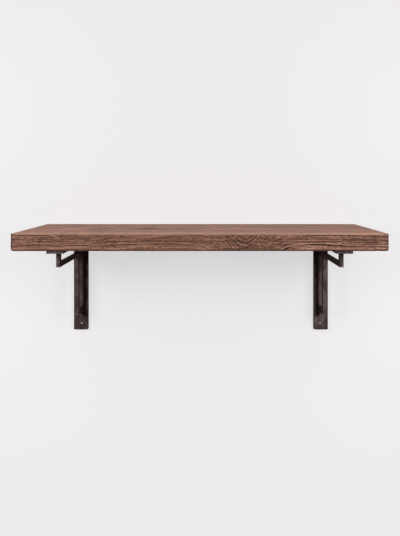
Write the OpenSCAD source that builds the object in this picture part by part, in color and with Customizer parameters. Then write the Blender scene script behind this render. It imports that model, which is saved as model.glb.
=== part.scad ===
// Wall shelf: a thick solid plank on two welded steel brackets.
//
// Millimetres, +Z up, +X to the right along the plank, +Y into the wall.
// The wall is the plane y = 0, and the whole shelf lies in front of it, at y <= 0.
// The origin is the centre of the four wall-screw holes.
// A bracket is drawn on its own mid-plane, x = 0, and then moved to its place.
// Each bracket is an L of flat bar, an arm under the plank and a plate on the wall,
// with a rail of slim bar inside it: a drop, a run, a post and a foot, mitred at the
// three elbows and welded.

/* [Plank] */
// Length of the plank along the wall
plank_length = 914; // [800:1:1400]
// Depth of the plank from the wall to its front face
plank_depth = 254; // [200:1:320]
// Thickness of the plank
plank_thickness = 43; // [34:1:60]
// Radius of the eased long arrises
arris_radius = 3; // [1:0.5:6]
// Radius of the eased upper and upright arrises at the two ends
end_radius = 2.5; // [1:0.5:8]
// Radius of the lower arrises at the two ends, which are worn rounder
end_under_radius = 5.5; // [1:0.5:10]

/* [Flat bar] */
// Distance from each end of the plank to the mid-plane of its bracket
bracket_inset = 103; // [60:0.5:200]
// Width of the flat bar of the arm and the wall plate
bar_width = 42; // [36:1:60]
// Thickness of the flat bar
bar_thickness = 8; // [6:0.5:10]
// Radius of the rolled edges of the flat bar
bar_edge_radius = 1; // [0.5:0.25:1.5]
// Distance from the front face of the plank back to the end of the arm
arm_setback = 12; // [5:1:25]
// Radius of the two corners at the end of the arm
arm_corner_radius = 2; // [1:0.5:6]
// Length of the wall plate, down from the underside of the plank
plate_length = 268; // [220:1:400]
// Radius of the two lower corners of the wall plate
plate_corner_radius = 3.5; // [1:0.5:10]

/* [Wall holes] */
// Diameter of the wall-screw holes
wall_hole_diameter = 6.5; // [5:0.5:8]
// Diameter of their countersinks, on the front face of the wall plate
wall_sink_diameter = 12; // [10:0.5:13]
// Height of the lower hole above the bottom of the wall plate
lower_hole_inset = 18; // [12:1:26]
// Depth of the upper hole below the underside of the plank
upper_hole_drop = 22; // [20:1:26]

/* [Rail] */
// Width of the rail bar, across the bracket
rail_width = 10; // [8:0.5:12]
// Depth of the rail bar, in the plane of the bracket
rail_depth = 12; // [10:0.5:20]
// Radius of the rolled edges of the rail bar
rail_edge_radius = 0.8; // [0.4:0.2:1.2]
// Radius ground on the outer corner of each elbow
elbow_radius = 2; // [0.5:0.5:4]
// Clear gap between the arm and the run of the rail
arm_gap = 26; // [18:1:40]
// Clear gap between the wall plate and the post of the rail
wall_gap = 34; // [20:1:40]
// Distance from the end of the arm back to the drop of the rail
drop_setback = 25; // [24:1:50]
// Height of the underside of the foot above the bottom of the wall plate
foot_height = 55; // [40:1:80]

/* [Plank screws] */
// Shank diameter of the countersunk wood screws
screw_diameter = 4.8; // [4:0.2:5.4]
// Head diameter of the wood screws
screw_head_diameter = 9.6; // [8.4:0.2:10.4]
// Length of the wood screws over all
screw_length = 32; // [24:1:38]
// Length of the pointed tip of the wood screws
screw_tip_length = 6; // [3:0.5:8]
// Clearance on the diameter between a screw and its hole in the arm
screw_clearance = 0.4; // [0.2:0.1:1]
// Span of the cross recess in the screw heads
recess_span = 4.6; // [3.6:0.2:5.6]
// Width of each slot of the cross recess
recess_slot = 1; // [0.6:0.1:1.4]
// Depth of the cross recess
recess_depth = 2; // [1:0.2:2.6]
// Distance of the front screw from the end of the arm
front_screw_inset = 12; // [10:1:13]
// Distance of the rear pair of screws from the wall
rear_screw_distance = 70; // [60:1:110]
// Distance of each screw of the rear pair from the mid-plane of the bracket
rear_screw_offset = 12; // [11:0.5:12.5]

/* [Welds] */
// Leg of the bead between the arm and the wall plate
corner_weld_leg = 6; // [4:0.5:8]
// Distance of that bead's ends from the edges of the flat bar
corner_weld_inset = 2; // [1.5:0.5:6]
// Leg of the beads of the rail
rail_weld_leg = 4; // [3:0.5:5]
// Pitch of the ripples along a bead
ripple_pitch = 2.4; // [1.8:0.2:4]
// Depth of the valleys between the ripples
ripple_depth = 0.5; // [0.2:0.1:0.8]

/* [Hidden] */

wood_colour = "#86614F";
steel_colour = "#4E4443";
weld_colour = "#3B3534";
screw_colour = "#5B5654";

$fn = 48;
// How far a cutting tool runs past the face that it cuts
past = 1;
// Straight steps in the profile of one weld ripple
ripple_steps = 4;

bracket_x = plank_length / 2 - bracket_inset;

// Heights, from the origin midway between the upper and the lower wall holes
wall_hole_spacing = plate_length - lower_hole_inset - upper_hole_drop;
upper_hole_z = wall_hole_spacing / 2;
lower_hole_z = -wall_hole_spacing / 2;
underside_z = upper_hole_z + upper_hole_drop;
arm_under_z = underside_z - bar_thickness;
plate_bottom_z = underside_z - plate_length;
run_top_z = arm_under_z - arm_gap;
run_bottom_z = run_top_z - rail_depth;
foot_bottom_z = plate_bottom_z + foot_height;
foot_top_z = foot_bottom_z + rail_depth;

// Places in front of the wall, all of them negative
plank_front_y = -plank_depth;
plate_front_y = -bar_thickness;
arm_end_y = plank_front_y + arm_setback;
drop_front_y = arm_end_y + drop_setback;
drop_back_y = drop_front_y + rail_depth;
post_back_y = plate_front_y - wall_gap;
post_front_y = post_back_y - rail_depth;

// Elbows of the rail, each as its outer and its inner corner, [y, z]
front_outer = [drop_front_y, run_bottom_z];
front_inner = [drop_back_y, run_top_z];
rear_outer = [post_back_y, run_top_z];
rear_inner = [post_front_y, run_bottom_z];
foot_outer = [post_front_y, foot_bottom_z];
foot_inner = [post_back_y, foot_top_z];

// Plank screws of one bracket, [x, y]
screw_places = [
    [0, arm_end_y + front_screw_inset],
    [-rear_screw_offset, -rear_screw_distance],
    [rear_screw_offset, -rear_screw_distance]
];

// Moves a bracket's piece to the left or the right bracket
module on_left() translate([-bracket_x, 0, 0]) children();
module on_right() translate([bracket_x, 0, 0]) children();

// A rectangle from its low to its high corner, with corners of one radius
module rounded_rectangle(low, high, radius) {
    translate([low.x + radius, low.y])
        square([high.x - low.x - 2 * radius, high.y - low.y]);
    translate([low.x, low.y + radius])
        square([high.x - low.x, high.y - low.y - 2 * radius]);
    for (x = [low.x + radius, high.x - radius], y = [low.y + radius, high.y - radius])
        translate([x, y]) circle(r = radius);
}

// A flat shape in Y and Z, extruded along X
module along_x(x_low, x_high)
    translate([x_low, 0, 0]) rotate([90, 0, 90]) linear_extrude(x_high - x_low) children();

// A flat shape in X and Z, extruded along Y
module along_y(y_low, y_high)
    translate([0, y_high, 0]) rotate([90, 0, 0]) linear_extrude(y_high - y_low) children();

// A flat shape in X and Y, extruded along Z
module along_z(z_low, z_high)
    translate([0, 0, z_low]) linear_extrude(z_high - z_low) children();

// A countersunk wood screw, point up, with the face of its head at z = 0.
// A hole's cutter has a wider shank on the same cone, and starts below the face.
module screw_form(shank_diameter, start = 0) {
    head_r = screw_head_diameter / 2;
    shank_r = shank_diameter / 2;
    rotate_extrude()
        polygon([
            [0, start], [head_r, start], [head_r, 0], [shank_r, head_r - shank_r],
            [shank_r, screw_length - screw_tip_length], [0, screw_length]
        ]);
}

// Sets its children at the three screws of one bracket
module at_screws() for (place = screw_places)
    translate([place.x, place.y, arm_under_z]) children();

// The plank is solid wood, with every arris eased and a pilot hole for each screw
module plank() {
    half = plank_length / 2;
    top_z = underside_z + plank_thickness;
    color(wood_colour) difference() {
        intersection() {
            along_x(-half, half)
                rounded_rectangle([plank_front_y, underside_z], [0, top_z], arris_radius);
            along_y(plank_front_y, 0) intersection() {
                rounded_rectangle([-half, underside_z - past - end_radius], [half, top_z],
                    end_radius);
                rounded_rectangle([-half, underside_z],
                    [half, top_z + past + end_under_radius], end_under_radius);
            }
            along_z(underside_z, top_z)
                rounded_rectangle([-half, plank_front_y], [half, 0], end_radius);
        }
        on_left() at_screws() screw_form(screw_diameter);
        on_right() at_screws() screw_form(screw_diameter);
    }
}

// The arm is flat bar with rolled edges, drilled and countersunk from below
module arm() color(steel_colour) difference() {
    intersection() {
        along_y(arm_end_y, plate_front_y)
            rounded_rectangle([-bar_width / 2, arm_under_z], [bar_width / 2, underside_z],
                bar_edge_radius);
        along_z(arm_under_z, underside_z)
            rounded_rectangle([-bar_width / 2, arm_end_y],
                [bar_width / 2, plate_front_y + past + arm_corner_radius], arm_corner_radius);
    }
    at_screws() screw_form(screw_diameter + screw_clearance, start = -past);
}

// Cuts a wall hole along Z from behind the plate's back face, z = 0, countersunk in front
module wall_hole() {
    hole_r = wall_hole_diameter / 2;
    sink_r = wall_sink_diameter / 2;
    rotate_extrude()
        polygon([
            [0, -past], [hole_r, -past], [hole_r, bar_thickness - (sink_r - hole_r)],
            [sink_r, bar_thickness], [sink_r, bar_thickness + past], [0, bar_thickness + past]
        ]);
}

// The wall plate is the same bar on end, with rounded lower corners and two wall holes
module wall_plate() color(steel_colour) difference() {
    intersection() {
        along_y(plate_front_y, 0)
            rounded_rectangle([-bar_width / 2, plate_bottom_z],
                [bar_width / 2, underside_z + past + plate_corner_radius], plate_corner_radius);
        along_z(plate_bottom_z, underside_z)
            rounded_rectangle([-bar_width / 2, plate_front_y], [bar_width / 2, 0],
                bar_edge_radius);
    }
    for (z = [upper_hole_z, lower_hole_z])
        translate([0, 0, z]) rotate([90, 0, 0]) wall_hole();
}

// Rail bar on end, with its back face at back_y, cut to a mitred side outline
module upright_bar(back_y, outline) intersection() {
    along_x(-rail_width / 2, rail_width / 2) polygon(outline);
    along_z(foot_bottom_z - past, arm_under_z + past)
        rounded_rectangle([-rail_width / 2, back_y - rail_depth], [rail_width / 2, back_y],
            rail_edge_radius);
}

// Rail bar laid level, with its top face at top_z, cut to a mitred side outline
module level_bar(top_z, outline) intersection() {
    along_x(-rail_width / 2, rail_width / 2) polygon(outline);
    along_y(drop_front_y - past, plate_front_y + past)
        rounded_rectangle([-rail_width / 2, top_z - rail_depth], [rail_width / 2, top_z],
            rail_edge_radius);
}

// What grinding takes off an elbow's outer corner, turned by 0 or 180 degrees to face it
module ground_off(corner, turn)
    along_x(-rail_width / 2 - past, rail_width / 2 + past)
        translate(corner) rotate(turn) difference() {
            translate([-past, -past]) square(elbow_radius + past);
            translate([elbow_radius, elbow_radius]) circle(r = elbow_radius);
        }

// The drop hangs from the arm near its end
module rail_drop() color(steel_colour) difference() {
    upright_bar(drop_back_y, [
        [drop_front_y, arm_under_z], [drop_back_y, arm_under_z], front_inner, front_outer
    ]);
    ground_off(front_outer, 0);
}

// The run goes level under the arm, from the drop to the post
module rail_run() color(steel_colour) difference() {
    level_bar(run_top_z, [front_outer, front_inner, rear_outer, rear_inner]);
    ground_off(front_outer, 0);
    ground_off(rear_outer, 180);
}

// The post stands in front of the wall plate, from the run down to the foot
module rail_post() color(steel_colour) difference() {
    upright_bar(post_back_y, [rear_inner, rear_outer, foot_inner, foot_outer]);
    ground_off(rear_outer, 180);
    ground_off(foot_outer, 0);
}

// The foot carries the post back to the wall plate
module rail_foot() color(steel_colour) difference() {
    level_bar(foot_top_z, [
        foot_outer, foot_inner, [plate_front_y, foot_top_z], [plate_front_y, foot_bottom_z]
    ]);
    ground_off(foot_outer, 0);
}

// Radius of a bead's surface at the share t of one ripple, from valley to valley
function ripple_radius(leg, t) = leg - ripple_depth * (1 - sin(180 * t));

// A rippled fillet bead along +X from the origin, a quarter round about its root.
// It fills the corner between the faces y = 0 and z = 0, where both are positive.
module bead(length, leg) {
    ripples = max(1, round(length / ripple_pitch));
    pitch = length / ripples;
    surface = [
        for (ripple = [0:ripples - 1], step = [0:ripple_steps - 1])
            [ripple_radius(leg, step / ripple_steps), (ripple + step / ripple_steps) * pitch]
    ];
    rotate([90, 0, 90]) rotate_extrude(angle = 90)
        polygon(concat([[0, 0]], surface, [[ripple_radius(leg, 1), length], [0, length]]));
}

// A bead across the mid-plane in an elbow; turn is 0 up and back, or 180 down and forward
module cross_bead(length, leg, corner, turn)
    translate([-length / 2, corner.x, corner.y]) rotate([turn, 0, 0]) bead(length, leg);

// A bead all round a bar of size [x, y] that stands on the face z = 0
module ring_bead(size, leg) for (turn = [0, 90, 180, 270]) {
    side = turn % 180 == 0 ? size : [size.y, size.x];
    rotate(turn) {
        translate([-side.x / 2, side.y / 2, 0]) bead(side.x, leg);
        translate([side.x / 2, side.y / 2, 0]) rotate_extrude(angle = 90) intersection() {
            circle(r = ripple_radius(leg, 0));
            square(leg);
        }
    }
}

// The bead in the inner corner of the flat bar, under the arm
module corner_weld() color(weld_colour)
    cross_bead(bar_width - 2 * corner_weld_inset, corner_weld_leg, [plate_front_y, arm_under_z],
        180);

// The bead round the drop, on the underside of the arm
module drop_weld() color(weld_colour)
    translate([0, (drop_front_y + drop_back_y) / 2, arm_under_z]) rotate([180, 0, 0])
        ring_bead([rail_width, rail_depth], rail_weld_leg);

// The beads in the inner corners of the three elbows, as wide as the flat of the bar
module elbow_weld(corner, turn) color(weld_colour)
    cross_bead(rail_width - 2 * rail_edge_radius, rail_weld_leg, corner, turn);

// The bead round the foot, on the front of the wall plate
module foot_weld() color(weld_colour)
    translate([0, plate_front_y, (foot_bottom_z + foot_top_z) / 2]) rotate([90, 0, 0])
        ring_bead([rail_width, rail_depth], rail_weld_leg);

// Three wood screws, each with a cross recess in its head, hold the plank on the arm
module plank_screws() color(screw_colour) at_screws() difference() {
    screw_form(screw_diameter);
    for (turn = [0, 90])
        rotate(turn) translate([-recess_span / 2, -recess_slot / 2, -past])
            cube([recess_span, recess_slot, recess_depth + past]);
}

plank();

on_left() arm();  // left_arm
on_left() wall_plate();  // left_wall_plate
on_left() rail_drop();  // left_rail_drop
on_left() rail_run();  // left_rail_run
on_left() rail_post();  // left_rail_post
on_left() rail_foot();  // left_rail_foot
on_left() corner_weld();  // left_corner_weld
on_left() drop_weld();  // left_drop_weld
on_left() elbow_weld(front_inner, 0);  // left_front_elbow_weld
on_left() elbow_weld(rear_inner, 180);  // left_rear_elbow_weld
on_left() elbow_weld(foot_inner, 0);  // left_foot_elbow_weld
on_left() foot_weld();  // left_foot_weld
on_left() plank_screws();  // left_plank_screws

on_right() arm();  // right_arm
on_right() wall_plate();  // right_wall_plate
on_right() rail_drop();  // right_rail_drop
on_right() rail_run();  // right_rail_run
on_right() rail_post();  // right_rail_post
on_right() rail_foot();  // right_rail_foot
on_right() corner_weld();  // right_corner_weld
on_right() drop_weld();  // right_drop_weld
on_right() elbow_weld(front_inner, 0);  // right_front_elbow_weld
on_right() elbow_weld(rear_inner, 180);  // right_rear_elbow_weld
on_right() elbow_weld(foot_inner, 0);  // right_foot_elbow_weld
on_right() foot_weld();  // right_foot_weld
on_right() plank_screws();  // right_plank_screws
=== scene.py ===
"""Looks of the bracketed wall shelf: one oiled plank on two welded, blackened steel brackets.

Metres, in the row frame: +X to the right along the plank, +Y into the wall, +Z up.
The wall is the plane y = 0, and the origin is the centre of the four wall holes.
"""

import math

import bmesh
import bpy
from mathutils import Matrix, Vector


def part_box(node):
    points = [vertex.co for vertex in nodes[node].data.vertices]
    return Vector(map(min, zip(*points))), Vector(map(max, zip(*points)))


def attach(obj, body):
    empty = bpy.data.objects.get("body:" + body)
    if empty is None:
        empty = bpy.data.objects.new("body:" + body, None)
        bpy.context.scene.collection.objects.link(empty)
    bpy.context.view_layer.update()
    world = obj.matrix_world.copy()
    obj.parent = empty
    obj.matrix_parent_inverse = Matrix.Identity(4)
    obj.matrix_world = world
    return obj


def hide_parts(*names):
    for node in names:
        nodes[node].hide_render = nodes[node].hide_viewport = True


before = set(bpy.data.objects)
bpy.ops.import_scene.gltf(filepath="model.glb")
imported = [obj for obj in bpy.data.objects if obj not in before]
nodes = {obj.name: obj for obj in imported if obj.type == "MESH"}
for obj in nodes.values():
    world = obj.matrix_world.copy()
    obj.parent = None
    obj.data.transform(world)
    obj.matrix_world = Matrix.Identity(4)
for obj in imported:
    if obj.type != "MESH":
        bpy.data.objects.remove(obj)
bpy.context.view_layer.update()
scene = bpy.context.scene

# Camera
# A level camera in front of the shelf, a little above the plank. The picture is the lower part
# of a taller one, so the lens is shifted instead of tilted, which keeps the plates upright.
FRAME_HEIGHT_PX = 536
FOCAL_PX = 456.0
SHIFT_PX = (-6.7, -85.7)
SENSOR_MM = 36.0
CAMERA_PLACE = (0.0171, -1.3544, 0.3025)
camera_data = bpy.data.cameras.new("camera")
camera_data.sensor_width = SENSOR_MM
camera_data.lens = SENSOR_MM * FOCAL_PX / FRAME_HEIGHT_PX
camera_data.shift_x = SHIFT_PX[0] / FRAME_HEIGHT_PX
camera_data.shift_y = SHIFT_PX[1] / FRAME_HEIGHT_PX
camera = bpy.data.objects.new("camera", camera_data)
camera.location = CAMERA_PLACE
camera.rotation_euler = (math.pi / 2, 0, 0)
scene.collection.objects.link(camera)
scene.camera = camera
scene.view_settings.view_transform = "Standard"

# Room
# A painted wall, which the plates and the plank's back edge touch, and a pale floor below.
# The paint is evenly pale to the camera and keeps part of the shelf's shadow. Seen from behind,
# the wall lets the eye through, so that the backs of the plates and the plank show.


def linear(code):
    """The linear colour of an sRGB hex code, with alpha 1."""
    parts = [int(code[i : i + 2], 16) / 255 for i in (1, 3, 5)]
    return [p / 12.92 if p <= 0.04045 else ((p + 0.055) / 1.055) ** 2.4 for p in parts] + [1.0]


def add(tree, kind, inputs=(), stops=(), **settings):
    """Adds a node with its settings, its inputs and, on a colour ramp, its stops.

    Inputs go by name, or in the order of the sockets that the settings leave in use. Each is a
    value, or what it is linked to: a socket, or a node, which gives its first output in use.
    A stop is a place from 0 to 1 and an sRGB code, and stops come in order, two or more.
    """
    made = tree.nodes.new(kind)
    for name, value in settings.items():
        setattr(made, name, value)
    if not isinstance(inputs, dict):
        inputs = dict(zip([i for i, socket in enumerate(made.inputs) if socket.enabled], inputs))
    for key, value in inputs.items():
        if isinstance(value, bpy.types.Node):
            value = next(output for output in value.outputs if output.enabled)
        if isinstance(value, bpy.types.NodeSocket):
            tree.links.new(value, made.inputs[key])
        else:
            made.inputs[key].default_value = value
    for number, (place, code) in enumerate(stops):
        ramp = made.color_ramp.elements
        stop = ramp[number] if number < 2 else ramp.new(place)
        stop.position, stop.color = place, linear(code)
    return made


def new_material(name):
    """An empty material and its node tree."""
    material = bpy.data.materials.new(name)
    material.use_nodes = True
    material.node_tree.nodes.clear()
    return material, material.node_tree


def quad(name, corners, material):
    mesh = bpy.data.meshes.new(name)
    mesh.from_pydata(corners, [], [(0, 1, 2, 3)])
    mesh.materials.append(material)
    made = bpy.data.objects.new(name, mesh)
    scene.collection.objects.link(made)
    return made


# How far the wall's face is behind the plates' backs, so that no two faces coincide
WALL_GAP = 0.0006
WALL_SIZE = (7.0, 5.0)
FLOOR_Z = -1.4
WALL_COLOUR = linear("#F4F3F3")
FLOOR_COLOUR = linear("#E9E8E8")
GLOW_COLOUR = linear("#FCFBFC")
# The share of the paint's own light in what the camera sees, which thins the shadow out
OWN_LIGHT = 0.66
# The strength of the paint's own light at the lowest step, and how it changes up each step of
# the wall, from one height to another, which evens out what the lamps leave uneven
EVEN_START = 1.085
EVEN_STEPS = ((-0.75, -0.14, -0.035), (-0.14, 0.22, -0.125), (0.22, 0.85, 0.07))
# Behind the wall plates, where only the screw holes show it, the paint is in the shade
SHADED = 0.5
SHADED_INSET = 0.002
plate_low, plate_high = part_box("left_wall_plate")
plate_middle, plate_half = (plate_low + plate_high) / 2, (plate_high - plate_low) / 2
bracket_x = -plate_middle.x
half_wide, wall_top = WALL_SIZE[0] / 2, FLOOR_Z + WALL_SIZE[1]

wall_paint, tree = new_material("matt wall paint")
rays = add(tree, "ShaderNodeLightPath").outputs
seen = rays["Is Camera Ray"]
for ray in ("Is Glossy Ray", "Is Transmission Ray"):
    seen = add(tree, "ShaderNodeMath", [seen, rays[ray]], operation="MAXIMUM")
share = add(tree, "ShaderNodeMath", [seen, OWN_LIGHT], operation="MULTIPLY")
place = add(tree, "ShaderNodeTexCoord").outputs["Object"]
wide, _, high = add(tree, "ShaderNodeSeparateXYZ", [place]).outputs
even = EVEN_START
for low, top, change in EVEN_STEPS:
    step = add(tree, "ShaderNodeMapRange", [high, low, top, 0.0, change])
    even = add(tree, "ShaderNodeMath", [step, even], operation="ADD")
wide = add(tree, "ShaderNodeMath", [wide], operation="ABSOLUTE")
reach_x, reach_z = plate_half.x - SHADED_INSET, plate_half.z - SHADED_INSET
beside = add(tree, "ShaderNodeMath", [wide, bracket_x, reach_x], operation="COMPARE")
level = add(tree, "ShaderNodeMath", [high, plate_middle.z, reach_z], operation="COMPARE")
covered = add(tree, "ShaderNodeMath", [beside, level], operation="MULTIPLY")
kept = add(tree, "ShaderNodeMath", [covered, SHADED - 1.0, 1.0], operation="MULTIPLY_ADD")
even = add(tree, "ShaderNodeMath", [even, kept], operation="MULTIPLY")
paint = add(tree, "ShaderNodeBsdfDiffuse", {"Color": WALL_COLOUR})
glow = add(tree, "ShaderNodeEmission", {"Color": GLOW_COLOUR, "Strength": even})
front = add(tree, "ShaderNodeMixShader", [share, paint, glow])
behind = add(tree, "ShaderNodeNewGeometry").outputs["Backfacing"]
both = add(tree, "ShaderNodeMixShader", [behind, front, add(tree, "ShaderNodeBsdfTransparent")])
add(tree, "ShaderNodeOutputMaterial", {"Surface": both})
wall = quad(
    "wall",
    [
        (-half_wide, WALL_GAP, FLOOR_Z),
        (half_wide, WALL_GAP, FLOOR_Z),
        (half_wide, WALL_GAP, wall_top),
        (-half_wide, WALL_GAP, wall_top),
    ],
    wall_paint,
)
wall.visible_shadow = False
wall.visible_diffuse = False

floor_paint, tree = new_material("matt floor")
seen = add(tree, "ShaderNodeLightPath").outputs["Is Camera Ray"]
share = add(tree, "ShaderNodeMath", [seen, OWN_LIGHT], operation="MULTIPLY")
paint = add(tree, "ShaderNodeBsdfDiffuse", {"Color": FLOOR_COLOUR})
glow = add(tree, "ShaderNodeEmission", {"Color": FLOOR_COLOUR, "Strength": 1.0})
both = add(tree, "ShaderNodeMixShader", [share, paint, glow])
add(tree, "ShaderNodeOutputMaterial", {"Surface": both})
floor = quad(
    "floor",
    [
        (-half_wide, -half_wide, FLOOR_Z),
        (half_wide, -half_wide, FLOOR_Z),
        (half_wide, half_wide, FLOOR_Z),
        (-half_wide, half_wide, FLOOR_Z),
    ],
    floor_paint,
)
floor.visible_diffuse = False

# Light
# A soft sky, bright overhead, dim and a little warm at the horizon, and two pairs of soft lamps
# outside the ends of the plank. The wide pair lights the plank and the wall, where the shadow
# gathers between the brackets. The near pair lights one bracket each, from its outer side.
SKY_COLOUR, HORIZON_COLOUR = linear("#ECEBEB"), linear("#F3C6BA")
# The heights between which the sky brightens, its strength below and above them, and what the
# camera sees instead
SKY_RISE = (0.3, 1.0)
SKY_LOW, SKY_HIGH = 0.12, 2.1
SEEN_SKY = 1.0
LAMPS = {
    # place, aim, width in metres, watts
    "wide left": ((-0.95, -1.0, 0.45), (-0.30, -0.1, 0.08), 0.5, 6.5),
    "wide right": ((0.95, -1.0, 0.45), (0.30, -0.1, 0.08), 0.5, 6.5),
    "near left": ((-0.84, -1.68, 0.54), (-0.36, 0.0, 0.03), 0.34, 24.0),
    "near right": ((0.84, -1.68, 0.54), (0.36, 0.0, 0.03), 0.34, 26.5),
}
world = bpy.data.worlds.new("soft sky")
world.use_nodes = True
scene.world = world
tree = world.node_tree
tree.nodes.clear()
way = add(tree, "ShaderNodeTexCoord").outputs["Generated"]
up = add(tree, "ShaderNodeSeparateXYZ", [way]).outputs[2]
rising = [up, *SKY_RISE, SKY_LOW, SKY_HIGH]
level = add(tree, "ShaderNodeMapRange", rising, interpolation_type="SMOOTHSTEP")
seen = add(tree, "ShaderNodeLightPath").outputs["Is Camera Ray"]
bright = add(tree, "ShaderNodeMix", [seen, level, SEEN_SKY], data_type="FLOAT")
colour = add(tree, "ShaderNodeMix", [bright, HORIZON_COLOUR, SKY_COLOUR], data_type="RGBA")
sky = add(tree, "ShaderNodeBackground", {"Color": colour, "Strength": bright})
add(tree, "ShaderNodeOutputWorld", {"Surface": sky})

lamp_holders = {}
for name, (place, aim, width, watts) in LAMPS.items():
    lamp = bpy.data.lights.new(name + " lamp", "AREA")
    lamp.shape = "DISK"
    lamp.size = width
    lamp.energy = watts
    holder = bpy.data.objects.new(name + " lamp", lamp)
    holder.location = place
    holder.rotation_euler = (Vector(aim) - Vector(place)).to_track_quat("-Z", "Y").to_euler()
    scene.collection.objects.link(holder)
    lamp_holders[name] = holder

# Plank
# One solid softwood board, planed, then brushed with wire so that the lines between its growth
# rings are worn into shallow grooves, stained brown and oiled. Its arrises are eased, with a
# painted highlight on the upper ones and painted shade on the lower ones, and six screws come up
# into its underside through the two arms.
board_low, board_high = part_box("plank")
board_size, board_middle = board_high - board_low, (board_low + board_high) / 2
# Everything in the wood changes gradually
SMOOTH = {"interpolation_type": "SMOOTHERSTEP"}
# The trunk's wander, the waves of its grain and their ripples: how many there are to a metre
# along each axis, and how far they move the rings
GRAIN_WAVES = (
    ((1.6, 3, 3), 0.024),
    ((9, 28, 28), 0.0075),
    ((38, 130, 130), 0.0016),
)
# The pith of the trunk, in Y and Z, which the growth rings go round
PITH = (-0.150, 0.059)
RING_WIDTH = 0.0038
# How many times the rings' width changes for each ring, and by how many rings
UNEVEN_OFTEN, UNEVEN_BY = 0.45, 1.6
# Where in each ring the dark late line starts, is full, starts to end and has ended
LATE_START, LATE_FULL, LATE_LAST, LATE_END = 0.40, 0.76, 0.88, 0.99
KNOTS = (
    # x, z, half width, half height, how far the rings are pushed down round it, how clear they are
    (-0.3370, 0.186, 0.013, 0.022, 0.026, 0.85),
    (-0.2530, 0.187, 0.017, 0.025, 0.030, 0.85),
    (0.1080, 0.110, 0.068, 0.100, 0.045, 0.26),
)
KNOT_DEPTH = 0.030
# How near a knot the rings start to come out clear, and are clearest
KNOT_NEAR = (0.03, 0.35)
# The brush bit in patches. A ring's own hardness and its patch share in how deep its line is.
HARDNESS_SHARE, PATCH_SHARE = 0.55, 0.65
# Ranges, each from one value to another, and what they give at the two ends where it isn't 0 and
# 1: the patches, the figure away from the plank's middle, and the knots' rings in a weak patch
PATCH_RANGE = (0.3, 0.66)
OUTWARD_RANGE = (0.06, 0.30, 0.6, 1.0)
KNOT_PATCH_RANGE = (0.0, 0.5, 0.55, 1.0)
# The brush's patches are 62 by 11 mm and its streaks 59 by 2.3 mm, the pale flecks 12 by 2.3 mm
# and the dark pores 8 by 2.1 mm. All are given as how many there are to a metre along each axis.
# The last three are wider than real ones, which are too fine to show.
PATCHES = (16, 90, 90)
STREAKS = (17, 440, 440)
FLECKS = (85, 430, 430)
PORES = (120, 470, 470)
# Where in their pattern the flecks and the pores start to show, and show fully
SPECK_RANGE = (0.56, 0.68)
# Sets the flecks apart from the other marks
FLECKS_ASIDE = (3, 5, 7)
# How far from an arris its wear and its stain reach
ARRIS_REACH = 0.006
# How close to an end more stain soaks in, and how close to a lower arris it has painted shade.
# The fibres of an end take the stain unevenly, and the painted shade is weaker than the stain.
END_SOAK_RANGE = (0.08, 0.36)
FIBRE_SOAK_RANGE = (0.25, 0.6, 0.95, 0.5)
UNDER_SHADE_RANGE = (0.1, 0.45)
UNDER_SHADE = 0.65


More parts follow.
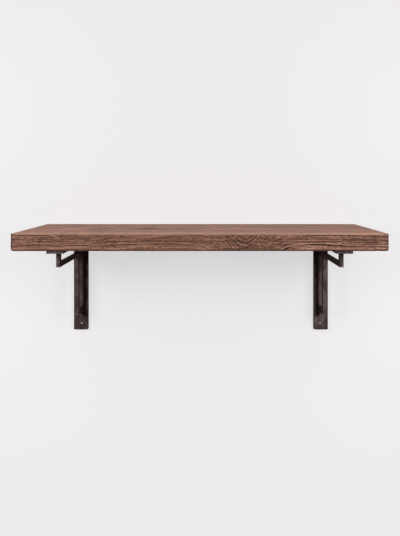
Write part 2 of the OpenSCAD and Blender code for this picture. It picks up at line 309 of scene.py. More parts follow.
def wood_figure(tree, place):
    """The board's own pattern at a place in metres, for the mesh and the colour alike.

    It gives each part of the pattern by name: the late lines, the ridges between them, whose
    paleness is partly a painted highlight, the rings' own tones, the brush streaks, flecks, pores
    and knots, the closeness to the arrises and to the upper ones alone, and how much stain soaks
    in at the ends together with the painted shade on the lower arrises. All go from 0 to 1.
    """
    moved = place
    for waves, reach in GRAIN_WAVES:
        shift = add(tree, "ShaderNodeVectorMath", [place, waves], operation="MULTIPLY")
        shift = add(tree, "ShaderNodeTexNoise", [shift, 1.0, 0.0]).outputs["Color"]
        shift = add(tree, "ShaderNodeVectorMath", [shift, (0.5, 0.5, 0.5)], operation="SUBTRACT")
        shift = add(tree, "ShaderNodeVectorMath", [shift, (0, reach, reach)], operation="MULTIPLY")
        moved = add(tree, "ShaderNodeVectorMath", [moved, shift], operation="ADD")
    axis = add(tree, "ShaderNodeVectorMath", [moved, (0, *PITH)], operation="SUBTRACT")
    axis = add(tree, "ShaderNodeVectorMath", [axis, (0, 1, 1)], operation="MULTIPLY")
    radius = add(tree, "ShaderNodeVectorMath", [axis], operation="LENGTH")
    knot = clear = 0.0
    for x, z, wide, high, push, clearness in KNOTS:
        centre, narrowness = (x, board_low.y, z), (1 / wide, 1 / KNOT_DEPTH, 1 / high)
        far = add(tree, "ShaderNodeVectorMath", [moved, centre], operation="SUBTRACT")
        far = add(tree, "ShaderNodeVectorMath", [far, narrowness], operation="MULTIPLY")
        far = add(tree, "ShaderNodeVectorMath", [far, far], operation="DOT_PRODUCT")
        near = add(tree, "ShaderNodeMath", [far, -1.0], operation="MULTIPLY")
        near = add(tree, "ShaderNodeMath", [near], operation="EXPONENT")
        pushed = add(tree, "ShaderNodeMath", [near, push], operation="MULTIPLY")
        radius = add(tree, "ShaderNodeMath", [radius, pushed], operation="ADD")
        knot = add(tree, "ShaderNodeMath", [knot, near], operation="MAXIMUM")
        shown = add(tree, "ShaderNodeMapRange", [near, *KNOT_NEAR, 0.0, clearness], **SMOOTH)
        clear = add(tree, "ShaderNodeMath", [clear, shown], operation="MAXIMUM")
    ring = add(tree, "ShaderNodeMath", [radius, RING_WIDTH], operation="DIVIDE")
    uneven = add(tree, "ShaderNodeMath", [ring, UNEVEN_OFTEN], operation="MULTIPLY")
    uneven = add(tree, "ShaderNodeTexNoise", [uneven, 1.0, 0.0], noise_dimensions="1D")
    uneven = add(tree, "ShaderNodeMath", [uneven, UNEVEN_BY], operation="MULTIPLY")
    ring = add(tree, "ShaderNodeMath", [ring, uneven], operation="ADD")
    # Each ring goes from pale early wood to a dark late line, which ends abruptly
    part = add(tree, "ShaderNodeMath", [ring], operation="FRACT")
    rise = add(tree, "ShaderNodeMapRange", [part, LATE_START, LATE_FULL], **SMOOTH)
    fall = add(tree, "ShaderNodeMapRange", [part, LATE_LAST, LATE_END, 1.0, 0.0], **SMOOTH)
    # The ridge of pale early wood after each late line, which also carries a painted highlight
    ridge_and_highlight = add(tree, "ShaderNodeMapRange", [part, 0.0, LATE_START, 1.0, 0.0], **SMOOTH)
    own = add(tree, "ShaderNodeMath", [ring], operation="FLOOR")
    own = add(tree, "ShaderNodeTexWhiteNoise", [own], noise_dimensions="1D")
    # The marks of the brush, and the flecks and pores along the grain
    aside = add(tree, "ShaderNodeVectorMath", [moved, FLECKS_ASIDE], operation="ADD")
    marks = []
    for source, scale, detail in (
        (place, PATCHES, 1.0),
        (moved, STREAKS, 1.0),
        (aside, FLECKS, 1.0),
        (moved, PORES, 1.5),
    ):
        at = add(tree, "ShaderNodeVectorMath", [source, scale], operation="MULTIPLY")
        marks.append(add(tree, "ShaderNodeTexNoise", [at, 1.0, detail]))
    patch, streak, fleck, pore = marks
    patch = add(tree, "ShaderNodeMapRange", [patch, *PATCH_RANGE], **SMOOTH)
    fleck = add(tree, "ShaderNodeMapRange", [fleck, *SPECK_RANGE], **SMOOTH)
    pore = add(tree, "ShaderNodeMapRange", [pore, *SPECK_RANGE], **SMOOTH)
    # How clear the rings are in each place
    split = add(tree, "ShaderNodeSeparateXYZ", [place]).outputs
    hard = add(tree, "ShaderNodeMath", [own, HARDNESS_SHARE], operation="MULTIPLY")
    bitten = add(tree, "ShaderNodeMath", [patch, PATCH_SHARE], operation="MULTIPLY")
    strength = add(tree, "ShaderNodeMath", [hard, bitten], operation="ADD", use_clamp=True)
    outward = add(tree, "ShaderNodeMath", [split[0]], operation="ABSOLUTE")
    outward = add(tree, "ShaderNodeMapRange", [outward, *OUTWARD_RANGE], **SMOOTH)
    shown = add(tree, "ShaderNodeMapRange", [patch, *KNOT_PATCH_RANGE], **SMOOTH)
    clear = add(tree, "ShaderNodeMath", [clear, shown], operation="MULTIPLY")
    strength = add(tree, "ShaderNodeMath", [strength, outward], operation="MULTIPLY")
    strength = add(tree, "ShaderNodeMath", [strength, clear], operation="MAXIMUM")
    line = add(tree, "ShaderNodeMath", [rise, fall], operation="MULTIPLY")
    line = add(tree, "ShaderNodeMath", [line, strength], operation="MULTIPLY")
    ridge_and_highlight = add(tree, "ShaderNodeMath", [ridge_and_highlight, strength], operation="MULTIPLY")
    # Closeness to the arrises, as the product of the closeness to two faces
    half, nearness = tuple(board_size / 2), (1 / ARRIS_REACH,) * 3
    apart = add(tree, "ShaderNodeVectorMath", [place, tuple(board_middle)], operation="SUBTRACT")
    apart = add(tree, "ShaderNodeVectorMath", [apart], operation="ABSOLUTE")
    apart = add(tree, "ShaderNodeVectorMath", [half, apart], operation="SUBTRACT")
    apart = add(tree, "ShaderNodeVectorMath", [apart, nearness], operation="MULTIPLY")
    close = add(tree, "ShaderNodeVectorMath", [(1, 1, 1), apart], operation="SUBTRACT")
    close = add(tree, "ShaderNodeSeparateXYZ", [close]).outputs
    close = [add(tree, "ShaderNodeMath", [c, 0.0], operation="MAXIMUM") for c in close]
    to_end, to_side, to_face = close
    level = add(tree, "ShaderNodeMath", [to_end, to_side], operation="MAXIMUM")
    level = add(tree, "ShaderNodeMath", [level, to_face], operation="MULTIPLY")
    upright = add(tree, "ShaderNodeMath", [to_end, to_side], operation="MULTIPLY")
    arris = add(tree, "ShaderNodeMath", [level, upright], operation="MAXIMUM")
    above = add(tree, "ShaderNodeMapRange", [split[2], board_middle.z, board_high.z], **SMOOTH)
    upper = add(tree, "ShaderNodeMath", [level, above], operation="MULTIPLY")
    # The end grain soaks up more stain, and the lower arrises get a weaker painted shade
    ends = add(tree, "ShaderNodeMapRange", [to_end, *END_SOAK_RANGE], **SMOOTH)
    fibrous = add(tree, "ShaderNodeMapRange", [streak, *FIBRE_SOAK_RANGE], **SMOOTH)
    ends = add(tree, "ShaderNodeMath", [ends, fibrous], operation="MULTIPLY")
    under = add(tree, "ShaderNodeMath", [1.0, above], operation="SUBTRACT")
    under = add(tree, "ShaderNodeMath", [to_face, under], operation="MULTIPLY")
    under = add(tree, "ShaderNodeMapRange", [under, *UNDER_SHADE_RANGE], **SMOOTH)
    under = add(tree, "ShaderNodeMath", [under, UNDER_SHADE], operation="MULTIPLY")
    stain_and_shade = add(tree, "ShaderNodeMath", [ends, under], operation="MAXIMUM")
    return {
        "line": line,
        "ridge_and_highlight": ridge_and_highlight,
        "ring": own,
        "streak": streak,
        "fleck": fleck,
        "pore": pore,
        "knot": knot,
        "arris": arris,
        "upper": upper,
        "stain_and_shade": stain_and_shade,
    }


# The mesh: a box of fine cells, longer along the grain, whose arrises are rounded one pair of
# axes at a time, and whose grooves and dents are then pressed in.
CELLS = (251, 142, 33)
BOARD_SIZES = {
    "Length": board_size.x,
    "Depth": board_size.y,
    "Thickness": board_size.z,
    "Arris radius": 0.003,
    "End radius": 0.0025,
    "End under radius": 0.0055,
    "Groove depth": 0.00045,
    "Dent depth": 0.0006,
}
# Keeps a cell that is on no arris from being divided by nothing
LEAST_REACH = 1e-7
# Dents of 14 mm, given as how many there are to a metre, and where in their pattern they start
# and are deepest
DENTS = 70.0
DENT_RANGE = (0.48, 0.72)
# The change in the depth of the grooves, as a share, in the hard wood of a knot
KNOT_HARDNESS = -0.7
board_tree = tree = bpy.data.node_groups.new("brushed board", "GeometryNodeTree")
for name in BOARD_SIZES:
    tree.interface.new_socket(name, in_out="INPUT", socket_type="NodeSocketFloat")
tree.interface.new_socket("Centre", in_out="INPUT", socket_type="NodeSocketVector")
tree.interface.new_socket("Wood", in_out="INPUT", socket_type="NodeSocketMaterial")
tree.interface.new_socket("Board", in_out="OUTPUT", socket_type="NodeSocketGeometry")
given = add(tree, "NodeGroupInput").outputs
length, depth, thickness = given["Length"], given["Depth"], given["Thickness"]
size = add(tree, "ShaderNodeCombineXYZ", [length, depth, thickness])
block = add(tree, "GeometryNodeMeshCube", [size, *CELLS])
half = add(tree, "ShaderNodeVectorMath", [size, (0.5, 0.5, 0.5)], operation="MULTIPLY")
height = add(tree, "ShaderNodeSeparateXYZ", [add(tree, "GeometryNodeInputPosition")]).outputs[2]
under = add(tree, "ShaderNodeMath", [height, 0.0], operation="LESS_THAN")
end_radii = [under, given["End radius"], given["End under radius"]]
end_radius = add(tree, "ShaderNodeMix", end_radii, data_type="FLOAT")
for pair, radius in (
    ((0, 1, 1), given["Arris radius"]),
    ((1, 0, 1), end_radius),
    ((1, 1, 0), given["End radius"]),
):
    at = add(tree, "GeometryNodeInputPosition")
    flat = add(tree, "ShaderNodeVectorMath", [half, radius], operation="SUBTRACT")
    below = add(tree, "ShaderNodeVectorMath", [flat, -1.0], operation="SCALE")
    inner = add(tree, "ShaderNodeVectorMath", [at, below], operation="MAXIMUM")
    inner = add(tree, "ShaderNodeVectorMath", [inner, flat], operation="MINIMUM")
    over = add(tree, "ShaderNodeVectorMath", [at, inner], operation="SUBTRACT")
    over = add(tree, "ShaderNodeVectorMath", [over, pair], operation="MULTIPLY")
    reach = add(tree, "ShaderNodeVectorMath", [over], operation="LENGTH")
    reach = add(tree, "ShaderNodeMath", [reach, LEAST_REACH], operation="MAXIMUM")
    parts = add(tree, "ShaderNodeVectorMath", [over], operation="ABSOLUTE")
    parts = add(tree, "ShaderNodeSeparateXYZ", [parts]).outputs
    most = add(tree, "ShaderNodeMath", [parts[0], parts[1]], operation="MAXIMUM")
    most = add(tree, "ShaderNodeMath", [most, parts[2]], operation="MAXIMUM")
    share = add(tree, "ShaderNodeMath", [most, reach], operation="DIVIDE")
    less = add(tree, "ShaderNodeMath", [share, 1.0], operation="SUBTRACT")
    pull = add(tree, "ShaderNodeVectorMath", [over, less], operation="SCALE")
    block = add(tree, "GeometryNodeSetPosition", {"Geometry": block, "Offset": pull})
centred = {"Geometry": block, "Translation": given["Centre"]}
block = add(tree, "GeometryNodeTransform", centred)
at = add(tree, "GeometryNodeInputPosition")
figure = wood_figure(tree, at.outputs[0])
dent = add(tree, "ShaderNodeTexNoise", [at, DENTS, 1.0])
dent = add(tree, "ShaderNodeMapRange", [dent, *DENT_RANGE])
for value in (figure["arris"], given["Dent depth"]):
    dent = add(tree, "ShaderNodeMath", [dent, value], operation="MULTIPLY")
soft = add(tree, "ShaderNodeMath", [figure["knot"], KNOT_HARDNESS, 1.0], operation="MULTIPLY_ADD")
groove = add(tree, "ShaderNodeMath", [figure["line"], soft], operation="MULTIPLY")
deep = [groove, given["Groove depth"], dent]
groove = add(tree, "ShaderNodeMath", deep, operation="MULTIPLY_ADD")
inward = add(tree, "ShaderNodeMath", [groove, -1.0], operation="MULTIPLY")
normal = add(tree, "GeometryNodeInputNormal")
press = add(tree, "ShaderNodeVectorMath", [normal, inward], operation="SCALE")
block = add(tree, "GeometryNodeSetPosition", {"Geometry": block, "Offset": press})
block = add(tree, "GeometryNodeSetShadeSmooth", {"Geometry": block})
block = add(tree, "GeometryNodeRealizeInstances", {"Geometry": block})
block = add(tree, "GeometryNodeSetMaterial", {"Geometry": block, "Material": given["Wood"]})
add(tree, "NodeGroupOutput", {"Board": block})

# The colour: brown stain, which the late wood, the pores and the thirsty end grain take darkest
# and the brushed ridges palest, partly as a painted highlight. The upper arrises and the front of
# the top have a painted highlight, the lower arrises painted shade. The oil is nearly matt.
STAIN = (
    # tone, colour
    (0.0, "#341E15"),
    (0.25, "#593A2D"),
    (0.5, "#825A47"),
    (0.75, "#A67A64"),
    (1.0, "#C89D86"),
)
# The colour of the painted highlight on the upper arrises
ARRIS_HIGHLIGHT_COLOUR = linear("#A17D6A")
# The end grain's colour, also used for the painted shade on the lower arrises
END_GRAIN_AND_SHADE_COLOUR = linear("#352219")
# The tone before the pattern's parts are added, and the one that a stronger pattern keeps
FIRST_TONE = -0.105
MEAN_TONE = 0.45
# Broad patches of stain, 143 by 38 by 25 mm, given as how many there are to a metre
STAIN_PATCHES = (7, 26, 40)
# How far the fibres break up the late wood where a ring runs out flat and broad
FIBRE_GAIN, FIBRE_LEAST = 0.9, 0.55
# The pattern is strongest towards the right end: from one place in X to another, and how strong
# it is at each
STRENGTH_RANGE = (-0.25, 0.4, 0.95, 1.3)
# It is faint on the top, which was sanded after the brushing and starts between these heights
SANDED_STRENGTH = 0.55
SANDED_RANGE = (board_high.z - 0.002, board_high.z - 0.001)
# A dark mineral streak that slants across the top, from one place in X and Y to another
MINERAL_FROM, MINERAL_TO = Vector((-0.147, -0.142)), Vector((-0.117, -0.026))
MINERAL_HALF_WIDTH = 0.0045
MINERAL_TONE = -0.27
# How many times it sways to a metre, and how far in X and Y
MINERAL_SWAYS, MINERAL_SWAY = 24.0, (0.03, 0.02, 0)
# Squares its ends off
MINERAL_END_POWER = 4.0
# A dark growth line along the front, which starts between two places in X and goes on to the
# right end, and its height in Z
GROWTH_LINE_RANGE = (-0.28, -0.22)
GROWTH_LINE_Z = 0.1596
GROWTH_LINE_HALF_HEIGHT = 0.0012
GROWTH_LINE_TONE = -0.22
# How many times it bends to a metre, and how far in all
GROWTH_LINE_BENDS, GROWTH_LINE_BEND = 11.0, 0.003
# It is on the front only, and fades out just behind it
FRONT_RANGE = (board_low.y + 0.004, board_low.y + 0.002)
# The front of the top is paler, a painted highlight leading into the upper arris
FRONT_HIGHLIGHT_RANGE = (board_low.y + 0.05, board_low.y + 0.01)
FRONT_HIGHLIGHT_TONE = 0.18
# A painted highlight on an upper arris, paler wood that shows less of the figure, strongest in
# the middle of the plank, where the lamps at the sides light it least
ARRIS_HIGHLIGHT_RANGE = (0.19, 0.42)
ARRIS_HIGHLIGHT_SPREAD = (0.15, 0.45, 0.75, 0.3)
# How squarely a face looks along the plank where its end grain starts to show, and shows fully
END_GRAIN_RANGE = (0.3, 0.65, 0.0, 0.75)
WOOD_ROUGHNESS = (0.64, 0.8)
WOOD_SPECULAR = 0.35
plank_wood, tree = new_material("oiled brushed wood")
place = add(tree, "ShaderNodeTexCoord").outputs["Object"]
split = add(tree, "ShaderNodeSeparateXYZ", [place]).outputs
figure = wood_figure(tree, place)
slow = add(tree, "ShaderNodeVectorMath", [place, STAIN_PATCHES], operation="MULTIPLY")
slow = add(tree, "ShaderNodeTexNoise", [slow, 1.0, 2.0])
broken = [figure["streak"], FIBRE_GAIN, FIBRE_LEAST]
fibres = add(tree, "ShaderNodeMath", broken, operation="MULTIPLY_ADD")
late_wood = add(tree, "ShaderNodeMath", [figure["line"], fibres], operation="MULTIPLY")
tone = FIRST_TONE
# How much each part of the pattern changes the tone. The ridges are made paler partly as a
# painted highlight.
for value, change in (
    (slow, 0.38),
    (figure["streak"], 0.80),
    (figure["ring"], 0.10),
    (figure["ridge_and_highlight"], 0.24),
    (figure["fleck"], 0.20),
    (late_wood, -0.55),
    (figure["pore"], -0.36),
    (figure["knot"], -0.04),
):
    tone = add(tree, "ShaderNodeMath", [value, change, tone], operation="MULTIPLY_ADD")
strong = add(tree, "ShaderNodeMapRange", [split[0], *STRENGTH_RANGE])
sanded = add(tree, "ShaderNodeMapRange", [split[2], *SANDED_RANGE])
strong = add(tree, "ShaderNodeMix", [sanded, strong, SANDED_STRENGTH], data_type="FLOAT")
tone = add(tree, "ShaderNodeMath", [tone, MEAN_TONE], operation="SUBTRACT")
tone = add(tree, "ShaderNodeMath", [tone, strong, MEAN_TONE], operation="MULTIPLY_ADD")

# The mineral streak fades along its length and across it
length = (MINERAL_TO - MINERAL_FROM).length
way = (MINERAL_TO - MINERAL_FROM).normalized()
middle = ((MINERAL_FROM + MINERAL_TO) / 2).to_3d()
along = (way.x * 2 / length, way.y * 2 / length, 0)
across = (-way.y / MINERAL_HALF_WIDTH, way.x / MINERAL_HALF_WIDTH, 0)
sway = add(tree, "ShaderNodeTexNoise", [place, MINERAL_SWAYS, 2.0]).outputs["Color"]
sway = add(tree, "ShaderNodeVectorMath", [sway, (0.5, 0.5, 0.5)], operation="SUBTRACT")
sway = add(tree, "ShaderNodeVectorMath", [sway, MINERAL_SWAY, place], operation="MULTIPLY_ADD")
offset = add(tree, "ShaderNodeVectorMath", [sway, middle], operation="SUBTRACT")
along = add(tree, "ShaderNodeVectorMath", [offset, along], operation="DOT_PRODUCT")
across = add(tree, "ShaderNodeVectorMath", [offset, across], operation="DOT_PRODUCT")
far = add(tree, "ShaderNodeMath", [along, MINERAL_END_POWER], operation="POWER")
far = add(tree, "ShaderNodeMath", [across, across, far], operation="MULTIPLY_ADD")
far = add(tree, "ShaderNodeMath", [far, -1.0], operation="MULTIPLY")
mineral = add(tree, "ShaderNodeMath", [far], operation="EXPONENT")
for value in (fibres, sanded):
    mineral = add(tree, "ShaderNodeMath", [mineral, value], operation="MULTIPLY")
tone = add(tree, "ShaderNodeMath", [mineral, MINERAL_TONE, tone], operation="MULTIPLY_ADD")

# The growth line fades above and below its middle
bend = add(tree, "ShaderNodeTexNoise", [place, GROWTH_LINE_BENDS, 1.0])
bend = add(tree, "ShaderNodeMath", [bend, 0.5], operation="SUBTRACT")
bent = [bend, GROWTH_LINE_BEND, -GROWTH_LINE_Z]
bend = add(tree, "ShaderNodeMath", bent, operation="MULTIPLY_ADD")
off = add(tree, "ShaderNodeMath", [split[2], bend], operation="ADD")
off = add(tree, "ShaderNodeMath", [off, GROWTH_LINE_HALF_HEIGHT], operation="DIVIDE")
off = add(tree, "ShaderNodeMath", [off, off], operation="MULTIPLY")
off = add(tree, "ShaderNodeMath", [off, -1.0], operation="MULTIPLY")
growth = add(tree, "ShaderNodeMath", [off], operation="EXPONENT")
begun = add(tree, "ShaderNodeMapRange", [split[0], *GROWTH_LINE_RANGE])
in_front = add(tree, "ShaderNodeMapRange", [split[1], *FRONT_RANGE])
for value in (fibres, begun, in_front):
    growth = add(tree, "ShaderNodeMath", [growth, value], operation="MULTIPLY")
tone = add(tree, "ShaderNodeMath", [growth, GROWTH_LINE_TONE, tone], operation="MULTIPLY_ADD")

# The painted highlights on the front of the top and the upper arrises, and then the end grain
# and the painted shade on the lower arrises, have the last word on the colour
front_highlight = add(tree, "ShaderNodeMapRange", [split[1], *FRONT_HIGHLIGHT_RANGE, 0.0, FRONT_HIGHLIGHT_TONE])
tone = add(tree, "ShaderNodeMath", [front_highlight, sanded, tone], operation="MULTIPLY_ADD")
arris_highlight = add(tree, "ShaderNodeMapRange", [figure["upper"], *ARRIS_HIGHLIGHT_RANGE])
outward = add(tree, "ShaderNodeMath", [split[0]], operation="ABSOLUTE")
highlight_spread = add(tree, "ShaderNodeMapRange", [outward, *ARRIS_HIGHLIGHT_SPREAD])
arris_highlight = add(tree, "ShaderNodeMath", [arris_highlight, highlight_spread], operation="MULTIPLY")
stain = add(tree, "ShaderNodeValToRGB", [tone], STAIN)
stain = add(tree, "ShaderNodeMix", [arris_highlight, stain, ARRIS_HIGHLIGHT_COLOUR], data_type="RGBA")
facing = add(tree, "ShaderNodeNewGeometry").outputs["Normal"]
facing = add(tree, "ShaderNodeSeparateXYZ", [facing]).outputs[0]
facing = add(tree, "ShaderNodeMath", [facing], operation="ABSOLUTE")
facing = add(tree, "ShaderNodeMapRange", [facing, *END_GRAIN_RANGE])
stain_and_shade = add(tree, "ShaderNodeMath", [facing, figure["stain_and_shade"]], operation="MAXIMUM")
colour = add(tree, "ShaderNodeMix", [stain_and_shade, stain, END_GRAIN_AND_SHADE_COLOUR], data_type="RGBA")
rough = add(tree, "ShaderNodeMapRange", [figure["line"], 0.0, 1.0, *WOOD_ROUGHNESS])
height = add(tree, "ShaderNodeMath", [figure["streak"], figure["pore"]], operation="SUBTRACT")
bump = add(tree, "ShaderNodeBump", {"Height": height, "Strength": 0.6, "Distance": 0.0006})
finish = {
    "Base Color": colour,
    "Roughness": rough,
    "Normal": bump,
    "Specular IOR Level": WOOD_SPECULAR,
}
surface = add(tree, "ShaderNodeBsdfPrincipled", finish)
add(tree, "ShaderNodeOutputMaterial", {"Surface": surface})

mesh = bpy.data.meshes.new("oiled_plank")
plank = bpy.data.objects.new("oiled_plank", mesh)
scene.collection.objects.link(plank)
shape = plank.modifiers.new("brushed board", "NODES")
shape.node_group = board_tree
given = {**BOARD_SIZES, "Centre": board_middle, "Wood": plank_wood}
for item in board_tree.interface.items_tree:
    if item.in_out == "INPUT":
        shape[item.identifier] = given[item.name]
# The screws' own solids, their loose triangles merged, cut their pilot holes
MERGED = 1e-6
pins = bmesh.new()
for side in ("left", "right"):
    pins.from_mesh(nodes[side + "_plank_screws"].data)
bmesh.ops.remove_doubles(pins, verts=pins.verts, dist=MERGED)
pin_mesh = bpy.data.meshes.new("screw holes")
pins.to_mesh(pin_mesh)
pins.free()
pin_tool = bpy.data.objects.new("screw holes", pin_mesh)
scene.collection.objects.link(pin_tool)
cut = plank.modifiers.new("pilot holes", "BOOLEAN")
cut.object, cut.operation, cut.solver = pin_tool, "DIFFERENCE", "EXACT"
evaluated = plank.evaluated_get(bpy.context.evaluated_depsgraph_get())
finished = bpy.data.meshes.new_from_object(evaluated)
plank.modifiers.clear()
plank.data = finished
bpy.data.objects.remove(pin_tool)
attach(plank, "root")
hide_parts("plank")

# Brackets
# Flat bar for the arms and the wall plates, and slim bar for the rails: hot-rolled mild steel,
# sawn, ground at the elbows, welded and then blackened. Their shapes are the CAD nodes' own.
drop_low, drop_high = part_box("left_rail_drop")
run_low, run_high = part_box("left_rail_run")
post_low, post_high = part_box("left_rail_post")
foot_low, foot_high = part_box("left_rail_foot")
flat_half, slim_half = plate_half.x, (post_high.x - post_low.x) / 2
# The black is a skin of iron oxide, so it is shaded as one and not as bare metal. It is streaked
# along the bar by the rolling, mottled where the mill scale came off, and rubbed paler on the
# edges. The ground corners are paler, as bare metal and as a painted highlight. The wall plates'
# edges are darker instead, as painted shade, and the rails have painted shade round the welds.
STEEL_TONES = ((0.0, "#221A19"), (0.5, "#4A403F"), (1.0, "#7F7371"))
ROLLED_WIDTH, ROLLED_LENGTH = 0.005, 0.11
# The mottling's size across the bar, and how it is drawn out along it
MOTTLE_SIZE, MOTTLE_STRETCH = 0.013, 0.45
# Grit of 0.9 mm, given as how many grains there are to a metre, coarser than real so that it shows
GRIT = 1100
# Where in the mottling the scale came off
SCALE_RANGE = (0.44, 0.58)
# How far in from an edge its change of tone starts and is full, and the heights between which
# it does so at the lower end of a wall plate
EDGE_START, EDGE_FULL = 0.0022, 0.0008
PLATE_END_RANGE = (plate_low.z + 0.003, plate_low.z + 0.001)
# The outer corners of the elbows, in Y and Z, which are paler as ground metal and as a painted
# highlight
GROUND_HIGHLIGHT_CORNERS = (
    (drop_low.y, run_low.z),
    (run_high.y, run_high.z),
    (post_low.y, foot_low.z),
)
GROUND_HIGHLIGHT_REACH = 0.0035
# The middles of the welds on the arm and on the plate, in Y and Z, round which the rail has
# painted shade: under the arm and where the foot meets the plate
WELD_SHADE_CENTRES = (
    ((drop_low.y + drop_high.y) / 2, drop_high.z),
    (plate_low.y, (foot_low.z + foot_high.z) / 2),
)
WELD_SHADE_REACH = 0.020
WELD_SHADE_TONE = -0.32
# The share of its reach over which a corner or a weld has its full effect
FULL_SHARE = 0.5
STEEL_ROUGHNESS_RANGE = (0.3, 0.7, 0.5, 0.72)
STEEL_SPECULAR = 0.012
# How high the grit stands next to the streaks and the mottling
GRIT_HEIGHT = 0.35


def blackened_steel(name, along, half_width, base, edge_wear_and_shade):
    """The blackened finish of a bar whose length lies on one axis, 1 or 2.

    The bar's half width is in X. Its black has a base tone, and a change of tone at its edges:
    paler wear on most bars, and a darker painted shade on the wall plates.
    """
    material, tree = new_material(name)
    place = add(tree, "ShaderNodeTexCoord").outputs["Object"]
    split = add(tree, "ShaderNodeSeparateXYZ", [place]).outputs
    rolled, blotch = [1 / ROLLED_WIDTH] * 3, [1 / MOTTLE_SIZE] * 3
    rolled[along], blotch[along] = 1 / ROLLED_LENGTH, MOTTLE_STRETCH / MOTTLE_SIZE
    # The rolling's streaks, the mottling and the grit, each from its own part of the noise
    marks = []
    for scale, detail, aside in ((rolled, 1.0, 4.0), (blotch, 3.0, 9.0), ([GRIT] * 3, 1.0, 0.0)):
        scaled = [place, scale, (aside,) * 3]
        at = add(tree, "ShaderNodeVectorMath", scaled, operation="MULTIPLY_ADD")
        marks.append(add(tree, "ShaderNodeTexNoise", [at, 1.0, detail]))
    streak, mottle, grit = marks
    bare = [mottle, *SCALE_RANGE]
    bare = add(tree, "ShaderNodeMapRange", bare, interpolation_type="SMOOTHSTEP")
    across = add(tree, "ShaderNodeMath", [split[0]], operation="ABSOLUTE")
    across = add(tree, "ShaderNodeMath", [across, bracket_x], operation="SUBTRACT")
    across = add(tree, "ShaderNodeMath", [across], operation="ABSOLUTE")
    edge = [across, half_width - EDGE_START, half_width - EDGE_FULL]
    edge = add(tree, "ShaderNodeMapRange", edge)
    plate_end = add(tree, "ShaderNodeMapRange", [split[2], *PLATE_END_RANGE])
    edge = add(tree, "ShaderNodeMath", [edge, plate_end], operation="MAXIMUM")
    in_plane = add(tree, "ShaderNodeCombineXYZ", [0.0, split[1], split[2]])
    nearby = []
    for centres, reach in ((GROUND_HIGHLIGHT_CORNERS, GROUND_HIGHLIGHT_REACH), (WELD_SHADE_CENTRES, WELD_SHADE_REACH)):
        most = 0.0
        for centre in centres:
            gap = add(tree, "ShaderNodeVectorMath", [in_plane, (0, *centre)], operation="DISTANCE")
            near = add(tree, "ShaderNodeMapRange", [gap, reach, FULL_SHARE * reach])
            most = add(tree, "ShaderNodeMath", [most, near], operation="MAXIMUM")
        nearby.append(most)
    ground_and_highlight, weld_shade = nearby
    # Only the rails, of slim bar, carry the painted shade round the welds
    slim = half_width < flat_half
    tone = base
    # How much each mark changes the tone: the ground corners partly as a painted highlight, the
    # welds and the wall plates' edges as painted shade
    for value, change in (
        (streak, 0.52),
        (bare, 0.18),
        (mottle, 0.34),
        (grit, 0.16),
        (ground_and_highlight, 0.30),
        (weld_shade, WELD_SHADE_TONE * slim),
        (edge, edge_wear_and_shade),
    ):
        tone = add(tree, "ShaderNodeMath", [value, change, tone], operation="MULTIPLY_ADD")
    colour = add(tree, "ShaderNodeValToRGB", [tone], STEEL_TONES)
    rough = add(tree, "ShaderNodeMapRange", [mottle, *STEEL_ROUGHNESS_RANGE])
    low = add(tree, "ShaderNodeMath", [grit, GRIT_HEIGHT], operation="MULTIPLY")
    high = add(tree, "ShaderNodeMath", [streak, mottle], operation="ADD")
    height = add(tree, "ShaderNodeMath", [low, high], operation="ADD")
    bump = add(tree, "ShaderNodeBump", {"Height": height, "Strength": 0.5, "Distance": 0.0008})
    finish = {
        "Base Color": colour,
        "Roughness": rough,
        "Normal": bump,
        "Specular IOR Level": STEEL_SPECULAR,
    }
    surface = add(tree, "ShaderNodeBsdfPrincipled", finish)
    add(tree, "ShaderNodeOutputMaterial", {"Surface": surface})
    return material


# What each finish is on
BAR_FINISHES = (
    # name, the axis of the bars' length, their half width, base tone, change at the edges (paler
    # wear, and painted shade on the plates), bars
    ("blackened flat bar, upright", 2, flat_half, -0.12, -0.2, ("wall_plate",)),
    ("blackened flat bar, level", 1, flat_half, -0.10, 0.06, ("arm",)),
    ("blackened slim bar, upright", 2, slim_half, -0.04, 0.06, ("rail_drop", "rail_post")),
    ("blackened slim bar, level", 1, slim_half, -0.02, 0.06, ("rail_run", "rail_foot")),
)
for name, along, half_width, base, edge_wear_and_shade, pieces in BAR_FINISHES:
    finish = blackened_steel(name, along, half_width, base, edge_wear_and_shade)
    for side in ("left", "right"):
        for piece in pieces:
            bar = nodes[side + "_" + piece].data
            bar.materials.clear()
            bar.materials.append(finish)

# Weld beads
# Rippled beads of weld metal, brushed and then blackened with the bars. The black takes darker
# and browner on them, and is rubbed paler in spots.
WELD_TONES = ((0.25, "#1F1716"), (0.55, "#3A2F2D"), (0.8, "#5D504E"))
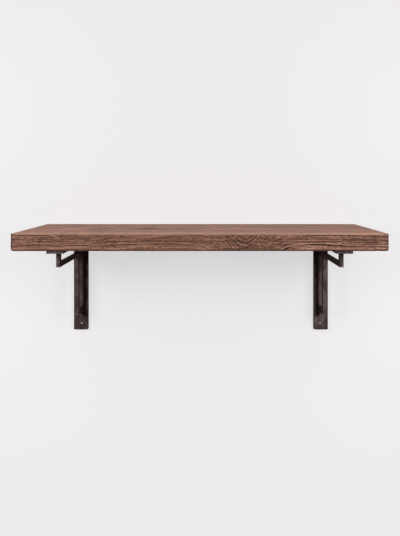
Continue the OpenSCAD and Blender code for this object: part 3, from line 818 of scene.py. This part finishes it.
# Spots of 2.4 mm, given as how many there are to a metre
WELD_SPOTS = 420.0
WELD_ROUGHNESS = (0.7, 0.45)
WELD_SPECULAR = 0.3
weld_metal, tree = new_material("blackened weld metal")
place = add(tree, "ShaderNodeTexCoord").outputs["Object"]
spots = add(tree, "ShaderNodeTexNoise", [place, WELD_SPOTS, 2.0])
colour = add(tree, "ShaderNodeValToRGB", [spots], WELD_TONES)
rough = add(tree, "ShaderNodeMapRange", [spots, 0.0, 1.0, *WELD_ROUGHNESS])
bump = add(tree, "ShaderNodeBump", {"Height": spots, "Strength": 0.5, "Distance": 0.0004})
finish = {
    "Base Color": colour,
    "Roughness": rough,
    "Normal": bump,
    "Specular IOR Level": WELD_SPECULAR,
}
surface = add(tree, "ShaderNodeBsdfPrincipled", finish)
add(tree, "ShaderNodeOutputMaterial", {"Surface": surface})
for name, node in nodes.items():
    if name.endswith("_weld"):
        node.data.materials.clear()
        node.data.materials.append(weld_metal)

# Plank screws
# Countersunk wood screws of carbon steel with a cross recess, heads flush with the underside of
# the arm. Black oxide leaves them a dark satin metal, rubbed paler in spots.
SCREW_TONES = ((0.3, "#4A4543"), (0.55, "#5F5A58"), (0.75, "#7C7775"))
# Spots of 1.4 mm, given as how many there are to a metre
SCREW_SPOTS = 700.0
SCREW_ROUGHNESS = (0.5, 0.34)
screw_steel, tree = new_material("black-oxide screw steel")
place = add(tree, "ShaderNodeTexCoord").outputs["Object"]
spots = add(tree, "ShaderNodeTexNoise", [place, SCREW_SPOTS, 2.0])
colour = add(tree, "ShaderNodeValToRGB", [spots], SCREW_TONES)
rough = add(tree, "ShaderNodeMapRange", [spots, 0.0, 1.0, *SCREW_ROUGHNESS])
finish = {"Base Color": colour, "Roughness": rough, "Metallic": 1.0}
surface = add(tree, "ShaderNodeBsdfPrincipled", finish)
add(tree, "ShaderNodeOutputMaterial", {"Surface": surface})
for side in ("left", "right"):
    screws = nodes[side + "_plank_screws"].data
    screws.materials.clear()
    screws.materials.append(screw_steel)

# What each lamp lights
# A near lamp lights only the pieces of its own bracket, and a wide one only the plank, the wall
# and the floor, so that the near pair can be strong without a second shadow on the wall.
for name, holder in lamp_holders.items():
    reach, side = name.split()
    bracket = [node for node_name, node in nodes.items() if node_name.startswith(side)]
    lit = bpy.data.collections.new("lit by " + name)
    for piece in bracket if reach == "near" else [plank, wall, floor]:
        lit.objects.link(piece)
    holder.light_linking.receiver_collection = lit
